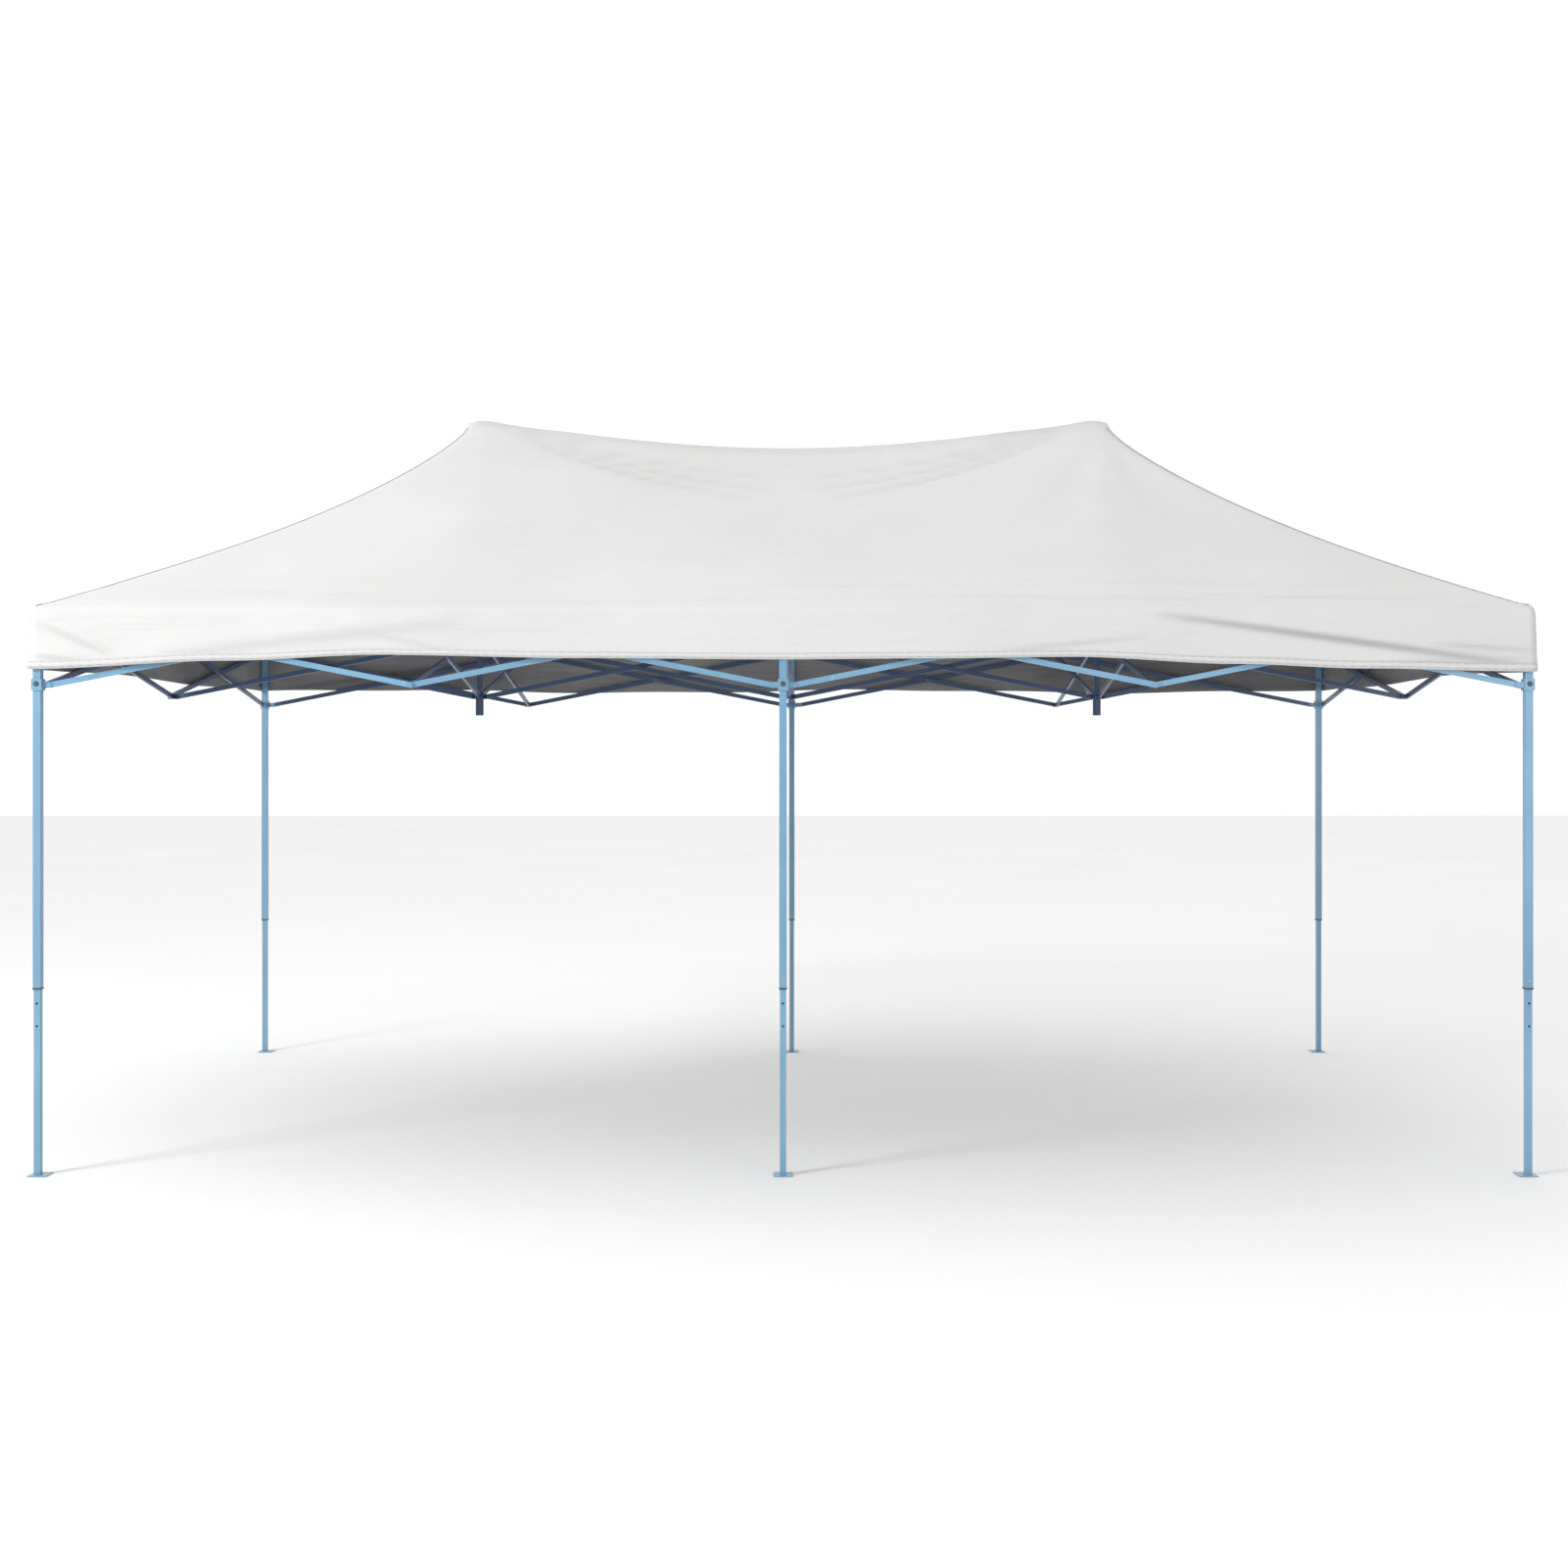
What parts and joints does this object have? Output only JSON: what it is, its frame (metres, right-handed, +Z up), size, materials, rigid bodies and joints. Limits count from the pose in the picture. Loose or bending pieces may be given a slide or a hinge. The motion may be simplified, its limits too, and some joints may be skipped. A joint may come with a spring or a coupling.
{
  "type": "pop up canopy",
  "caption": "Free-standing folding canopy with telescoping legs, scissor trusses, two centre poles and a sewn cover with two peaks and a valance.",
  "frame": {"origin": "on the ground at the middle of the canopy's footprint", "axes": "+X along the length, +Y from front to back, +Z up"},
  "size_m": [5.957, 3.063, 3.25],
  "materials": {
    "frame_paint": "satin light blue powder coat on steel tube",
    "inner_leg_paint": "satin light blue powder coat on steel tube",
    "cover_fabric": "white coated polyester weave"
  },
  "bodies": {
    "frame_centre": {"centre_bracket": "frame_paint", "canopy_cover": "cover_fabric"},
    "outer_leg_front_left": {"outer_leg_front_left": "frame_paint"},
    "inner_leg_front_left": {"inner_leg_front_left": "inner_leg_paint"},
    "slider_front_left": {"slider_front_left": "frame_paint"},
    "outer_leg_front_centre": {"outer_leg_front_centre": "frame_paint"},
    "inner_leg_front_centre": {"inner_leg_front_centre": "inner_leg_paint"},
    "slider_front_centre": {"slider_front_centre": "frame_paint"},
    "outer_leg_front_right": {"outer_leg_front_right": "frame_paint"},
    "inner_leg_front_right": {"inner_leg_front_right": "inner_leg_paint"},
    "slider_front_right": {"slider_front_right": "frame_paint"},
    "outer_leg_back_left": {"outer_leg_back_left": "frame_paint"},
    "inner_leg_back_left": {"inner_leg_back_left": "inner_leg_paint"},
    "slider_back_left": {"slider_back_left": "frame_paint"},
    "outer_leg_back_centre": {"outer_leg_back_centre": "frame_paint"},
    "inner_leg_back_centre": {"inner_leg_back_centre": "inner_leg_paint"},
    "slider_back_centre": {"slider_back_centre": "frame_paint"},
    "outer_leg_back_right": {"outer_leg_back_right": "frame_paint"},
    "inner_leg_back_right": {"inner_leg_back_right": "inner_leg_paint"},
    "slider_back_right": {"slider_back_right": "frame_paint"},
    "centre_pole_left": {"centre_pole_left": "frame_paint"},
    "centre_pole_right": {"centre_pole_right": "frame_paint"},
    "lower_connector_left": {"lower_connector_left": "frame_paint"},
    "lower_connector_right": {"lower_connector_right": "frame_paint"},
    "front_truss_1_falling_bar": {"front_truss_1_falling_bar": "frame_paint"},
    "front_truss_1_rising_bar": {"front_truss_1_rising_bar": "frame_paint"},
    "front_truss_2_falling_bar": {"front_truss_2_falling_bar": "frame_paint"},
    "front_truss_2_rising_bar": {"front_truss_2_rising_bar": "frame_paint"},
    "front_truss_3_falling_bar": {"front_truss_3_falling_bar": "frame_paint"},
    "front_truss_3_rising_bar": {"front_truss_3_rising_bar": "frame_paint"},
    "front_truss_4_falling_bar": {"front_truss_4_falling_bar": "frame_paint"},
    "front_truss_4_rising_bar": {"front_truss_4_rising_bar": "frame_paint"},
    "back_truss_1_falling_bar": {"back_truss_1_falling_bar": "frame_paint"},
    "back_truss_1_rising_bar": {"back_truss_1_rising_bar": "frame_paint"},
    "back_truss_2_falling_bar": {"back_truss_2_falling_bar": "frame_paint"},
    "back_truss_2_rising_bar": {"back_truss_2_rising_bar": "frame_paint"},
    "back_truss_3_falling_bar": {"back_truss_3_falling_bar": "frame_paint"},
    "back_truss_3_rising_bar": {"back_truss_3_rising_bar": "frame_paint"},
    "back_truss_4_falling_bar": {"back_truss_4_falling_bar": "frame_paint"},
    "back_truss_4_rising_bar": {"back_truss_4_rising_bar": "frame_paint"},
    "left_end_truss_front_falling_bar": {"left_end_truss_front_falling_bar": "frame_paint"},
    "left_end_truss_front_rising_bar": {"left_end_truss_front_rising_bar": "frame_paint"},
    "left_end_truss_back_falling_bar": {"left_end_truss_back_falling_bar": "frame_paint"},
    "left_end_truss_back_rising_bar": {"left_end_truss_back_rising_bar": "frame_paint"},
    "left_cross_truss_front_falling_bar": {"left_cross_truss_front_falling_bar": "frame_paint"},
    "left_cross_truss_front_rising_bar": {"left_cross_truss_front_rising_bar": "frame_paint"},
    "left_cross_truss_back_falling_bar": {"left_cross_truss_back_falling_bar": "frame_paint"},
    "left_cross_truss_back_rising_bar": {"left_cross_truss_back_rising_bar": "frame_paint"},
    "centre_truss_front_falling_bar": {"centre_truss_front_falling_bar": "frame_paint"},
    "centre_truss_front_rising_bar": {"centre_truss_front_rising_bar": "frame_paint"},
    "centre_truss_back_falling_bar": {"centre_truss_back_falling_bar": "frame_paint"},
    "centre_truss_back_rising_bar": {"centre_truss_back_rising_bar": "frame_paint"},
    "right_cross_truss_front_falling_bar": {"right_cross_truss_front_falling_bar": "frame_paint"},
    "right_cross_truss_front_rising_bar": {"right_cross_truss_front_rising_bar": "frame_paint"},
    "right_cross_truss_back_falling_bar": {"right_cross_truss_back_falling_bar": "frame_paint"},
    "right_cross_truss_back_rising_bar": {"right_cross_truss_back_rising_bar": "frame_paint"},
    "right_end_truss_front_falling_bar": {"right_end_truss_front_falling_bar": "frame_paint"},
    "right_end_truss_front_rising_bar": {"right_end_truss_front_rising_bar": "frame_paint"},
    "right_end_truss_back_falling_bar": {"right_end_truss_back_falling_bar": "frame_paint"},
    "right_end_truss_back_rising_bar": {"right_end_truss_back_rising_bar": "frame_paint"}
  },
  "joints": [
    {"name": "fold", "type": "hinge", "parent": "frame_centre", "child": "centre_truss_front_rising_bar", "pos_m": [0, 0, 2.22], "axis": [1, 0, 0], "range_deg": [0, 75], "deforming": ["canopy_cover"]},
    {"name": "centre_truss_front_falling_bar_pivot", "type": "hinge", "parent": "centre_truss_front_rising_bar", "child": "centre_truss_front_falling_bar", "pos_m": [0, -0.715, 2.08], "axis": [1, 0, 0], "range_deg": [-150, 0]},
    {"name": "outer_leg_front_centre_pivot", "type": "hinge", "parent": "centre_truss_front_falling_bar", "child": "outer_leg_front_centre", "pos_m": [0, -1.43, 2.22], "axis": [1, 0, 0], "range_deg": [0, 75]},
    {"name": "slider_front_centre_pivot", "type": "hinge", "parent": "centre_truss_front_rising_bar", "child": "slider_front_centre", "pos_m": [0, -1.43, 1.94], "axis": [1, 0, 0], "range_deg": [-75, 0]},
    {"name": "centre_truss_back_falling_bar_pivot", "type": "hinge", "parent": "frame_centre", "child": "centre_truss_back_falling_bar", "pos_m": [0, 0, 2.22], "axis": [1, 0, 0], "range_deg": [-75, 0]},
    {"name": "centre_truss_back_rising_bar_pivot", "type": "hinge", "parent": "centre_truss_back_falling_bar", "child": "centre_truss_back_rising_bar", "pos_m": [0, 0.715, 2.08], "axis": [1, 0, 0], "range_deg": [0, 150]},
    {"name": "outer_leg_back_centre_pivot", "type": "hinge", "parent": "centre_truss_back_rising_bar", "child": "outer_leg_back_centre", "pos_m": [0, 1.43, 2.22], "axis": [1, 0, 0], "range_deg": [-75, 0]},
    {"name": "slider_back_centre_pivot", "type": "hinge", "parent": "centre_truss_back_falling_bar", "child": "slider_back_centre", "pos_m": [0, 1.43, 1.94], "axis": [1, 0, 0], "range_deg": [0, 75]},
    {"name": "front_truss_3_falling_bar_pivot", "type": "hinge", "parent": "outer_leg_front_centre", "child": "front_truss_3_falling_bar", "pos_m": [0.045, -1.494, 2.22], "axis": [0, 1, 0], "range_deg": [0, 75]},
    {"name": "front_truss_3_rising_bar_pivot", "type": "hinge", "parent": "front_truss_3_falling_bar", "child": "front_truss_3_rising_bar", "pos_m": [0.76, -1.494, 2.08], "axis": [0, 1, 0], "range_deg": [-150, 0]},
    {"name": "front_truss_4_falling_bar_pivot", "type": "hinge", "parent": "front_truss_3_rising_bar", "child": "front_truss_4_falling_bar", "pos_m": [1.475, -1.494, 2.22], "axis": [0, 1, 0], "range_deg": [0, 150]},
    {"name": "front_truss_4_rising_bar_pivot", "type": "hinge", "parent": "front_truss_4_falling_bar", "child": "front_truss_4_rising_bar", "pos_m": [2.19, -1.494, 2.08], "axis": [0, 1, 0], "range_deg": [-150, 0]},
    {"name": "outer_leg_front_right_pivot", "type": "hinge", "parent": "front_truss_4_rising_bar", "child": "outer_leg_front_right", "pos_m": [2.905, -1.494, 2.22], "axis": [0, 1, 0], "range_deg": [0, 75]},
    {"name": "slider_front_right_pivot", "type": "hinge", "parent": "front_truss_4_falling_bar", "child": "slider_front_right", "pos_m": [2.905, -1.494, 1.94], "axis": [0, 1, 0], "range_deg": [-75, 0]},
    {"name": "front_truss_2_rising_bar_pivot", "type": "hinge", "parent": "outer_leg_front_centre", "child": "front_truss_2_rising_bar", "pos_m": [-0.045, -1.494, 2.22], "axis": [0, 1, 0], "range_deg": [-75, 0]},
    {"name": "front_truss_2_falling_bar_pivot", "type": "hinge", "parent": "front_truss_2_rising_bar", "child": "front_truss_2_falling_bar", "pos_m": [-0.76, -1.494, 2.08], "axis": [0, 1, 0], "range_deg": [0, 150]},
    {"name": "front_truss_1_rising_bar_pivot", "type": "hinge", "parent": "front_truss_2_falling_bar", "child": "front_truss_1_rising_bar", "pos_m": [-1.475, -1.494, 2.22], "axis": [0, 1, 0], "range_deg": [-150, 0]},
    {"name": "front_truss_1_falling_bar_pivot", "type": "hinge", "parent": "front_truss_1_rising_bar", "child": "front_truss_1_falling_bar", "pos_m": [-2.19, -1.494, 2.08], "axis": [0, 1, 0], "range_deg": [0, 150]},
    {"name": "outer_leg_front_left_pivot", "type": "hinge", "parent": "front_truss_1_falling_bar", "child": "outer_leg_front_left", "pos_m": [-2.905, -1.494, 2.22], "axis": [0, 1, 0], "range_deg": [-75, 0]},
    {"name": "slider_front_left_pivot", "type": "hinge", "parent": "front_truss_1_rising_bar", "child": "slider_front_left", "pos_m": [-2.905, -1.494, 1.94], "axis": [0, 1, 0], "range_deg": [0, 75]},
    {"name": "back_truss_3_falling_bar_pivot", "type": "hinge", "parent": "outer_leg_back_centre", "child": "back_truss_3_falling_bar", "pos_m": [0.045, 1.494, 2.22], "axis": [0, 1, 0], "range_deg": [0, 75]},
    {"name": "back_truss_3_rising_bar_pivot", "type": "hinge", "parent": "back_truss_3_falling_bar", "child": "back_truss_3_rising_bar", "pos_m": [0.76, 1.494, 2.08], "axis": [0, 1, 0], "range_deg": [-150, 0]},
    {"name": "back_truss_4_falling_bar_pivot", "type": "hinge", "parent": "back_truss_3_rising_bar", "child": "back_truss_4_falling_bar", "pos_m": [1.475, 1.494, 2.22], "axis": [0, 1, 0], "range_deg": [0, 150]},
    {"name": "back_truss_4_rising_bar_pivot", "type": "hinge", "parent": "back_truss_4_falling_bar", "child": "back_truss_4_rising_bar", "pos_m": [2.19, 1.494, 2.08], "axis": [0, 1, 0], "range_deg": [-150, 0]},
    {"name": "outer_leg_back_right_pivot", "type": "hinge", "parent": "back_truss_4_rising_bar", "child": "outer_leg_back_right", "pos_m": [2.905, 1.494, 2.22], "axis": [0, 1, 0], "range_deg": [0, 75]},
    {"name": "slider_back_right_pivot", "type": "hinge", "parent": "back_truss_4_falling_bar", "child": "slider_back_right", "pos_m": [2.905, 1.494, 1.94], "axis": [0, 1, 0], "range_deg": [-75, 0]},
    {"name": "back_truss_2_rising_bar_pivot", "type": "hinge", "parent": "outer_leg_back_centre", "child": "back_truss_2_rising_bar", "pos_m": [-0.045, 1.494, 2.22], "axis": [0, 1, 0], "range_deg": [-75, 0]},
    {"name": "back_truss_2_falling_bar_pivot", "type": "hinge", "parent": "back_truss_2_rising_bar", "child": "back_truss_2_falling_bar", "pos_m": [-0.76, 1.494, 2.08], "axis": [0, 1, 0], "range_deg": [0, 150]},
    {"name": "back_truss_1_rising_bar_pivot", "type": "hinge", "parent": "back_truss_2_falling_bar", "child": "back_truss_1_rising_bar", "pos_m": [-1.475, 1.494, 2.22], "axis": [0, 1, 0], "range_deg": [-150, 0]},
    {"name": "back_truss_1_falling_bar_pivot", "type": "hinge", "parent": "back_truss_1_rising_bar", "child": "back_truss_1_falling_bar", "pos_m": [-2.19, 1.494, 2.08], "axis": [0, 1, 0], "range_deg": [0, 150]},
    {"name": "outer_leg_back_left_pivot", "type": "hinge", "parent": "back_truss_1_falling_bar", "child": "outer_leg_back_left", "pos_m": [-2.905, 1.494, 2.22], "axis": [0, 1, 0], "range_deg": [-75, 0]},
    {"name": "slider_back_left_pivot", "type": "hinge", "parent": "back_truss_1_rising_bar", "child": "slider_back_left", "pos_m": [-2.905, 1.494, 1.94], "axis": [0, 1, 0], "range_deg": [0, 75]},
    {"name": "left_end_truss_front_falling_bar_pivot", "type": "hinge", "parent": "outer_leg_front_left", "child": "left_end_truss_front_falling_bar", "pos_m": [-2.95, -1.43, 2.22], "axis": [1, 0, 0], "range_deg": [-75, 0]},
    {"name": "left_end_truss_front_rising_bar_pivot", "type": "hinge", "parent": "left_end_truss_front_falling_bar", "child": "left_end_truss_front_rising_bar", "pos_m": [-2.95, -0.715, 2.08], "axis": [1, 0, 0], "range_deg": [0, 150]},
    {"name": "left_end_truss_back_rising_bar_pivot", "type": "hinge", "parent": "outer_leg_back_left", "child": "left_end_truss_back_rising_bar", "pos_m": [-2.95, 1.43, 2.22], "axis": [1, 0, 0], "range_deg": [0, 75]},
    {"name": "left_end_truss_back_falling_bar_pivot", "type": "hinge", "parent": "left_end_truss_back_rising_bar", "child": "left_end_truss_back_falling_bar", "pos_m": [-2.95, 0.715, 2.08], "axis": [1, 0, 0], "range_deg": [-150, 0]},
    {"name": "right_end_truss_front_falling_bar_pivot", "type": "hinge", "parent": "outer_leg_front_right", "child": "right_end_truss_front_falling_bar", "pos_m": [2.95, -1.43, 2.22], "axis": [1, 0, 0], "range_deg": [-75, 0]},
    {"name": "right_end_truss_front_rising_bar_pivot", "type": "hinge", "parent": "right_end_truss_front_falling_bar", "child": "right_end_truss_front_rising_bar", "pos_m": [2.95, -0.715, 2.08], "axis": [1, 0, 0], "range_deg": [0, 150]},
    {"name": "right_end_truss_back_rising_bar_pivot", "type": "hinge", "parent": "outer_leg_back_right", "child": "right_end_truss_back_rising_bar", "pos_m": [2.95, 1.43, 2.22], "axis": [1, 0, 0], "range_deg": [0, 75]},
    {"name": "right_end_truss_back_falling_bar_pivot", "type": "hinge", "parent": "right_end_truss_back_rising_bar", "child": "right_end_truss_back_falling_bar", "pos_m": [2.95, 0.715, 2.08], "axis": [1, 0, 0], "range_deg": [-150, 0]},
    {"name": "lower_connector_left_pivot", "type": "hinge", "parent": "front_truss_1_falling_bar", "child": "lower_connector_left", "pos_m": [-1.475, -1.494, 1.94], "axis": [0, 1, 0], "range_deg": [-75, 0]},
    {"name": "left_cross_truss_front_rising_bar_pivot", "type": "hinge", "parent": "lower_connector_left", "child": "left_cross_truss_front_rising_bar", "pos_m": [-1.475, -1.462, 1.94], "axis": [1, 0, 0], "range_deg": [0, 75]},
    {"name": "left_cross_truss_front_falling_bar_pivot", "type": "hinge", "parent": "left_cross_truss_front_rising_bar", "child": "left_cross_truss_front_falling_bar", "pos_m": [-1.475, -0.747, 2.08], "axis": [1, 0, 0], "range_deg": [-150, 0]},
    {"name": "centre_pole_left_pivot", "type": "hinge", "parent": "left_cross_truss_front_falling_bar", "child": "centre_pole_left", "pos_m": [-1.475, -0.032, 1.94], "axis": [1, 0, 0], "range_deg": [0, 75]},
    {"name": "left_cross_truss_back_rising_bar_pivot", "type": "hinge", "parent": "centre_pole_left", "child": "left_cross_truss_back_rising_bar", "pos_m": [-1.475, 0.032, 1.94], "axis": [1, 0, 0], "range_deg": [0, 75]},
    {"name": "left_cross_truss_back_falling_bar_pivot", "type": "hinge", "parent": "left_cross_truss_back_rising_bar", "child": "left_cross_truss_back_falling_bar", "pos_m": [-1.475, 0.747, 2.08], "axis": [1, 0, 0], "range_deg": [-150, 0]},
    {"name": "lower_connector_right_pivot", "type": "hinge", "parent": "front_truss_3_falling_bar", "child": "lower_connector_right", "pos_m": [1.475, -1.494, 1.94], "axis": [0, 1, 0], "range_deg": [-75, 0]},
    {"name": "right_cross_truss_front_rising_bar_pivot", "type": "hinge", "parent": "lower_connector_right", "child": "right_cross_truss_front_rising_bar", "pos_m": [1.475, -1.462, 1.94], "axis": [1, 0, 0], "range_deg": [0, 75]},
    {"name": "right_cross_truss_front_falling_bar_pivot", "type": "hinge", "parent": "right_cross_truss_front_rising_bar", "child": "right_cross_truss_front_falling_bar", "pos_m": [1.475, -0.747, 2.08], "axis": [1, 0, 0], "range_deg": [-150, 0]},
    {"name": "centre_pole_right_pivot", "type": "hinge", "parent": "right_cross_truss_front_falling_bar", "child": "centre_pole_right", "pos_m": [1.475, -0.032, 1.94], "axis": [1, 0, 0], "range_deg": [0, 75]},
    {"name": "right_cross_truss_back_rising_bar_pivot", "type": "hinge", "parent": "centre_pole_right", "child": "right_cross_truss_back_rising_bar", "pos_m": [1.475, 0.032, 1.94], "axis": [1, 0, 0], "range_deg": [0, 75]},
    {"name": "right_cross_truss_back_falling_bar_pivot", "type": "hinge", "parent": "right_cross_truss_back_rising_bar", "child": "right_cross_truss_back_falling_bar", "pos_m": [1.475, 0.747, 2.08], "axis": [1, 0, 0], "range_deg": [-150, 0]},
    {"name": "leg_height_front_left", "type": "slide", "parent": "outer_leg_front_left", "child": "inner_leg_front_left", "axis": [0, 0, 1], "range_m": [0, 0.68]},
    {"name": "leg_height_front_centre", "type": "slide", "parent": "outer_leg_front_centre", "child": "inner_leg_front_centre", "axis": [0, 0, 1], "range_m": [0, 0.68]},
    {"name": "leg_height_front_right", "type": "slide", "parent": "outer_leg_front_right", "child": "inner_leg_front_right", "axis": [0, 0, 1], "range_m": [0, 0.68]},
    {"name": "leg_height_back_left", "type": "slide", "parent": "outer_leg_back_left", "child": "inner_leg_back_left", "axis": [0, 0, 1], "range_m": [0, 0.68]},
    {"name": "leg_height_back_centre", "type": "slide", "parent": "outer_leg_back_centre", "child": "inner_leg_back_centre", "axis": [0, 0, 1], "range_m": [0, 0.68]},
    {"name": "leg_height_back_right", "type": "slide", "parent": "outer_leg_back_right", "child": "inner_leg_back_right", "axis": [0, 0, 1], "range_m": [0, 0.68]}
  ],
  "couplings": [
    {"joint": "centre_truss_front_falling_bar_pivot", "follows": "fold", "ratio": -2},
    {"joint": "outer_leg_front_centre_pivot", "follows": "fold", "ratio": 1},
    {"joint": "slider_front_centre_pivot", "follows": "fold", "ratio": -1},
    {"joint": "centre_truss_back_falling_bar_pivot", "follows": "fold", "ratio": -1},
    {"joint": "centre_truss_back_rising_bar_pivot", "follows": "fold", "ratio": 2},
    {"joint": "outer_leg_back_centre_pivot", "follows": "fold", "ratio": -1},
    {"joint": "slider_back_centre_pivot", "follows": "fold", "ratio": 1},
    {"joint": "front_truss_3_falling_bar_pivot", "follows": "fold", "ratio": 1},
    {"joint": "front_truss_3_rising_bar_pivot", "follows": "fold", "ratio": -2},
    {"joint": "front_truss_4_falling_bar_pivot", "follows": "fold", "ratio": 2},
    {"joint": "front_truss_4_rising_bar_pivot", "follows": "fold", "ratio": -2},
    {"joint": "outer_leg_front_right_pivot", "follows": "fold", "ratio": 1},
    {"joint": "slider_front_right_pivot", "follows": "fold", "ratio": -1},
    {"joint": "front_truss_2_rising_bar_pivot", "follows": "fold", "ratio": -1},
    {"joint": "front_truss_2_falling_bar_pivot", "follows": "fold", "ratio": 2},
    {"joint": "front_truss_1_rising_bar_pivot", "follows": "fold", "ratio": -2},
    {"joint": "front_truss_1_falling_bar_pivot", "follows": "fold", "ratio": 2},
    {"joint": "outer_leg_front_left_pivot", "follows": "fold", "ratio": -1},
    {"joint": "slider_front_left_pivot", "follows": "fold", "ratio": 1},
    {"joint": "back_truss_3_falling_bar_pivot", "follows": "fold", "ratio": 1},
    {"joint": "back_truss_3_rising_bar_pivot", "follows": "fold", "ratio": -2},
    {"joint": "back_truss_4_falling_bar_pivot", "follows": "fold", "ratio": 2},
    {"joint": "back_truss_4_rising_bar_pivot", "follows": "fold", "ratio": -2},
    {"joint": "outer_leg_back_right_pivot", "follows": "fold", "ratio": 1},
    {"joint": "slider_back_right_pivot", "follows": "fold", "ratio": -1},
    {"joint": "back_truss_2_rising_bar_pivot", "follows": "fold", "ratio": -1},
    {"joint": "back_truss_2_falling_bar_pivot", "follows": "fold", "ratio": 2},
    {"joint": "back_truss_1_rising_bar_pivot", "follows": "fold", "ratio": -2},
    {"joint": "back_truss_1_falling_bar_pivot", "follows": "fold", "ratio": 2},
    {"joint": "outer_leg_back_left_pivot", "follows": "fold", "ratio": -1},
    {"joint": "slider_back_left_pivot", "follows": "fold", "ratio": 1},
    {"joint": "left_end_truss_front_falling_bar_pivot", "follows": "fold", "ratio": -1},
    {"joint": "left_end_truss_front_rising_bar_pivot", "follows": "fold", "ratio": 2},
    {"joint": "left_end_truss_back_rising_bar_pivot", "follows": "fold", "ratio": 1},
    {"joint": "left_end_truss_back_falling_bar_pivot", "follows": "fold", "ratio": -2},
    {"joint": "right_end_truss_front_falling_bar_pivot", "follows": "fold", "ratio": -1},
    {"joint": "right_end_truss_front_rising_bar_pivot", "follows": "fold", "ratio": 2},
    {"joint": "right_end_truss_back_rising_bar_pivot", "follows": "fold", "ratio": 1},
    {"joint": "right_end_truss_back_falling_bar_pivot", "follows": "fold", "ratio": -2},
    {"joint": "lower_connector_left_pivot", "follows": "fold", "ratio": -1},
    {"joint": "left_cross_truss_front_rising_bar_pivot", "follows": "fold", "ratio": 1},
    {"joint": "left_cross_truss_front_falling_bar_pivot", "follows": "fold", "ratio": -2},
    {"joint": "centre_pole_left_pivot", "follows": "fold", "ratio": 1},
    {"joint": "left_cross_truss_back_rising_bar_pivot", "follows": "fold", "ratio": 1},
    {"joint": "left_cross_truss_back_falling_bar_pivot", "follows": "fold", "ratio": -2},
    {"joint": "lower_connector_right_pivot", "follows": "fold", "ratio": -1},
    {"joint": "right_cross_truss_front_rising_bar_pivot", "follows": "fold", "ratio": 1},
    {"joint": "right_cross_truss_front_falling_bar_pivot", "follows": "fold", "ratio": -2},
    {"joint": "centre_pole_right_pivot", "follows": "fold", "ratio": 1},
    {"joint": "right_cross_truss_back_rising_bar_pivot", "follows": "fold", "ratio": 1},
    {"joint": "right_cross_truss_back_falling_bar_pivot", "follows": "fold", "ratio": -2}
  ]
}
